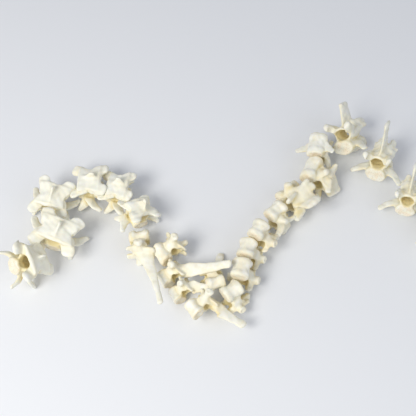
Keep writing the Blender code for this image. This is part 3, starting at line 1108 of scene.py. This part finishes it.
@dataclass(frozen=True)
class DryBone:
    """Dry, cleaned bone: warm ivory, yellower in its hollows by painted shade, whiter on its most open faces
    by painted light, and tan and full of pores on its end faces.
    """

    name: str
    ivory: Colour = (0.90, 0.885, 0.77, 1.0)
    # painted light: the whiter colour of the most open faces, laid on in patches
    cream: Colour = (0.88, 0.84, 0.68, 1.0)
    # the bone's cream tone, which also paints shade into shallow recesses
    painted_light_white: Colour = (0.94, 0.935, 0.88, 1.0)
    # painted shade in deep hollows, which is also the stain on the canal's wall
    hollow: Colour = (0.83, 0.71, 0.38, 1.0)
    tan: Colour = (0.86, 0.67, 0.40, 1.0)
    pore: Colour = (0.46, 0.31, 0.15, 1.0)
    pore_size: float = 0.55
    stray_size: float = 1.4
    roughness: float = 0.42
    gloss: float = 0.42
    glow: float = 0.06
    glow_colour: Triple = (1.0, 0.75, 0.45)
    glow_depth: float = 0.0012
    relief: float = 0.0003
    relief_share: float = 0.6

    def material(self) -> bpy.types.Material:
        """Builds the finish.

        Returns:
            The material.
        """
        graph = Graph(self.name)
        opened = graph.mask("open")
        porous = graph.mask("porous")
        stained = graph.mask("stained")
        clouds = graph.noise(11.0)
        patches = graph.noise(4.0, 4.0)
        grain = graph.noise(0.8, 5.0, 0.65)
        # deep is painted shade where little is open in front of the surface, together with the canal wall's
        # stain
        deep = (1 - opened.ramp(0.12, 0.78)).most(stained)
        # shallow is painted shade in shallow recesses, where little is open in front of the surface
        shallow = 1 - opened.ramp(0.45, 0.98)
        holes = (1 - graph.cells(self.pore_size).ramp(0.12, 0.42)) * porous
        stray = (1 - graph.cells(self.stray_size).ramp(0.05, 0.16)) * patches.ramp(0.52, 0.66)

        colour = graph.mix(clouds.ramp(0.42, 0.64), self.ivory, self.cream)
        # Painted light: the most open faces are made whiter in patches.
        colour = graph.mix(opened.ramp(0.8, 1.0) * patches.ramp(0.4, 0.62) * 0.7, colour, self.painted_light_white)
        # Painted shade: shallow recesses are made creamier.
        colour = graph.mix(shallow * 0.35, colour, self.cream)
        # Painted shade: deep hollows turn towards the yellower hollow colour, as does the canal's stained
        # wall.
        colour = graph.mix(deep * patches.ramp(0.1, 0.5) * 0.9, colour, self.hollow)
        colour = graph.mix(porous * patches.ramp(0.35, 0.6) * 0.55, colour, self.tan)
        colour = graph.mix((holes * 0.6).most(stray * 0.35), colour, self.pore)

        height = grain * 0.25 + patches * 0.5 - holes * 0.9 - stray * 0.5
        sockets = {"Height": height, "Strength": self.relief_share, "Distance": self.relief}
        return graph.finished({
            "Base Color": colour,
            "Roughness": self.roughness + grain * 0.16 + porous * 0.22 + deep * 0.12,
            "Specular IOR Level": self.gloss,
            "Subsurface Weight": self.glow,
            "Subsurface Radius": self.glow_colour,
            "Subsurface Scale": self.glow_depth,
            "Normal": graph.node("ShaderNodeBump", {}, sockets, "Normal"),
        })


@dataclass(frozen=True)
class PaleFloor:
    """The plain pale floor's finish."""

    colour: Colour = (0.81, 0.82, 0.84, 1.0)
    roughness: float = 0.7

    def material(self) -> bpy.types.Material:
        """Builds the finish.

        Returns:
            The material.
        """
        return Graph("pale_floor").finished({"Base Color": self.colour, "Roughness": self.roughness})


@dataclass
class Studio:
    """A plain pale floor under soft light. Sizes are in metres."""

    floor_size: float = 6.0
    sky: Colour = (0.86, 0.90, 1.0, 1.0)
    sky_strength: float = 0.46
    lamps: tuple = (
        ("key", (-0.5, -0.42, 0.66), 0.4, 5.4, (1.0, 0.98, 0.93)),
        ("fill", (0.7, -0.5, 0.7), 0.9, 2.2, (0.94, 0.97, 1.0)),
    )

    def build(self) -> None:
        """Puts the floor, the lamps and the sky in the scene."""
        side = self.floor_size / 2
        corners = [(-side, -side, 0), (side, -side, 0), (side, side, 0), (-side, side, 0)]
        mesh = bpy.data.meshes.new("floor")
        mesh.from_pydata(corners, [], [(0, 1, 2, 3)])
        mesh.materials.append(PaleFloor().material())
        floor = bpy.data.objects.new("floor", mesh)
        bpy.context.scene.collection.objects.link(floor)
        for name, place, size, power, colour in self.lamps:
            self._lamp(name, place, size, power, colour)
        world = bpy.data.worlds.new("sky")
        world.use_nodes = True
        background = world.node_tree.nodes["Background"]
        background.inputs["Color"].default_value = self.sky
        background.inputs["Strength"].default_value = self.sky_strength
        bpy.context.scene.view_settings.view_transform = "Standard"
        bpy.context.scene.world = world

    def _lamp(self, name: str, place: Triple, size: float, power: float, colour: Triple) -> None:
        """Adds one square soft lamp that looks at the chain.

        Args:
            name: The lamp's name.
            place: Where it hangs.
            size: Its side.
            power: Its power in watts.
            colour: Its colour.
        """
        light = bpy.data.lights.new(name, "AREA")
        light.size = size
        light.energy = power
        light.color = colour
        lamp = bpy.data.objects.new(name, light)
        lamp.location = place
        lamp.rotation_euler = (-Vector(place)).to_track_quat("-Z", "Y").to_euler()
        bpy.context.scene.collection.objects.link(lamp)


@dataclass
class Chain:
    """The whole backbone: its bones in their order from the neck to the hips."""

    seed: int = SEED
    finishes: dict[Slot, DryBone] = field(default_factory=lambda: {
        Slot.NECK: DryBone("neck_bone"),
        Slot.CHEST: DryBone(
            "chest_bone", ivory=(0.895, 0.865, 0.715, 1.0), cream=(0.87, 0.805, 0.62, 1.0),
            # painted light of the chest bones' most open faces
            painted_light_white=(0.93, 0.915, 0.84, 1.0),
        ),
        Slot.LOIN: DryBone("loin_bone"),
        Slot.HIP: DryBone("hip_bone"),
    })

    def neck(self) -> Iterator[Vertebra]:
        """The neck vertebrae, from the head end."""
        lies = (
            (Lie(21, 265, (-0.3, -0.5, 0.8), (0.9, 0.3, 0.17), 1.05), 1.5, 0),
            (Lie(56, 237, (-0.3, -0.95, 0), (0.25, 0, 0.97), 1.05, 0.84, 1.2), 2, 20),
            (Lie(53.5, 204, (-0.25, -0.97, 0), (0.08, 0, 1), 1.04, 0.87, 1.02), 2, 20),
            (Lie(91, 190, (-1, 0.02, 0), (0.05, 0.15, 1), 1.0, 0.84, 1.1), 2, 10),
            (Lie(118.5, 195, (-0.98, 0.15, 0), (0.05, 0.15, 1), 0.95, 0.83, 1.1), 2.5, 0),
            (Lie(136, 217, (-0.5, 0.86, 0), (0.35, 0.2, 0.9), 0.88, 0.85, 1.1), 5, 0),
        )
        for number, (lie, spine, lean) in enumerate(lies, start=1):
            yield NeckVertebra(f"neck_vertebra_{number}", lie, spine=spine, lean=lean)

    def chest(self) -> Iterator[Vertebra]:
        """The chest vertebrae, the last three of which are like loin vertebrae."""
        slender = (9.4, 7.6, 4.8, 3.6, 3.4)
        broad = (8.4, 9.8, 7.6, 6.2, 5.6)
        first = (
            (Lie(139.5, 238, (-0.97, -0.1, 0), (0.05, -1, 0.15), 1.1), 31, 12),
            (Lie(162, 254, (-0.6, 0.77, 0), (0.78, 0.62, 0), 1.05), 2, 12),
        )
        middle = (
            (Lie(166, 278.5, (-0.5, 0.87, 0), (0.97, 0.25, 0.52), 1.0, 0.88), 31, 34),
            (Lie(177, 294.5, (-0.5, 0.86, 0), (0.86, 0.45, 0.65), 0.94, 0.86), 11, 45),
            (Lie(194, 308.5, (-0.6, 0.8, 0), (0.8, 0.6, -0.2), 1.0, 0.9), 24, 72),
        )
        late = (
            (Lie(215.5, 283.5, (-0.94, -0.3, 0), (-0.05, 0.98, -0.5), 0.95), 17, 30),
            (Lie(231.5, 291, (-0.8, -0.6, 0), (0.4, -0.1, -0.9), 1.1, 0.9), 5, 75),
            (Lie(241, 269, (-0.25, -0.97, 0), (0.2, 0, -1), 1.2, 0.88), 4, 75),
            (Lie(247, 248.5, (-0.3, -0.95, 0), (0.3, -0.1, -0.95), 1.13, 0.9), 5, 75),
            (Lie(258, 230, (-0.5, -0.86, 0), (0.4, -0.2, -0.88), 1.13, 0.9), 8, 50),
        )
        last = (
            (Lie(275, 210.8, (-0.7, -0.7, 0), (0.4, -0.3, -0.85), 1.0, 0.93), 4, 10),
            (Lie(289.5, 196.5, (-0.75, -0.66, 0), (0.5, -0.6, 0.6), 1.2, 1.0, 1.15), 6, 0),
            (Lie(311, 170.5, (-0.4, -0.9, 0), (0.8, -0.5, -0.5), 1.18), 5, -30),
        )
        groups = (
            (ChestVertebra, {"spine_broad": slender}, first),
            (ChestVertebra, {"spine_broad": broad}, middle),
            (ChestVertebra, {"rib_reach": 7.4}, late),
            (LastChestVertebra, {}, last),
        )
        number = count(1)
        for kind, sizes, lies in groups:
            for lie, spine, lean in lies:
                yield kind(f"chest_vertebra_{next(number)}", lie, spine=spine, lean=lean, **sizes)

    def loin(self) -> Iterator[Vertebra]:
        """The loin vertebrae, the last of which lie beyond the picture's right edge."""
        lies = (
            (Lie(317, 145.5, (-0.25, -0.95, 0), (0.35, -0.1, -0.93), 0.92), 5, -20, 0.55),
            (Lie(350, 145, (-0.6, -0.6, 0.5), (-0.25, 0.65, 0.65), 1.1), 10, 0, 0.55),
            (Lie(379, 168.5, (-0.4, -0.75, 0.35), (0.1, 0.5, 0.85), 1.08), 16, 0, 0.65),
            (Lie(407, 204.5, (-0.3, -0.75, 0.35), (0.1, 0.5, 0.85), 0.98), 15, 0, 0.75),
            (Lie(440, 231.5, (-0.85, 0.5, 0), (0.2, 0.3, 0.9), 0.95), 12, 0, 0.9),
            (Lie(472, 241, (-0.95, 0.3, 0), (0, 0.1, 1)), 11, 0, 1),
            (Lie(512, 245, (-1, 0.1, 0), (0, 0.05, 1)), 9, 0, 0.9),
        )
        for number, (lie, spine, lean, wing) in enumerate(lies, start=1):
            yield LoinVertebra(f"loin_vertebra_{number}", lie, spine=spine, lean=lean, wing=wing)

    def build(self) -> None:
        """Builds every bone and gives it its finish."""
        rng = random.Random(self.seed)
        vertebrae = [*self.neck(), *self.chest(), *self.loin()]
        for vertebra in vertebrae:
            vertebra.vary(rng)
        sacrum = Sacrum("sacrum", Lie(555.5, 245, (-1, 0.1, 0), (0, 0.05, 1)))
        materials = {slot: finish.material() for slot, finish in self.finishes.items()}
        for number, bone in enumerate([*vertebrae, sacrum]):
            bone.seed = self.seed + number
            piece = bone.build()
            piece.data.materials.append(materials[bone.slot])


def main() -> None:
    """Builds the chain, the floor, the light and the camera."""
    logging.basicConfig(level=logging.INFO)
    View().build()
    Studio().build()
    Chain().build()


if __name__ == "__main__":
    main()
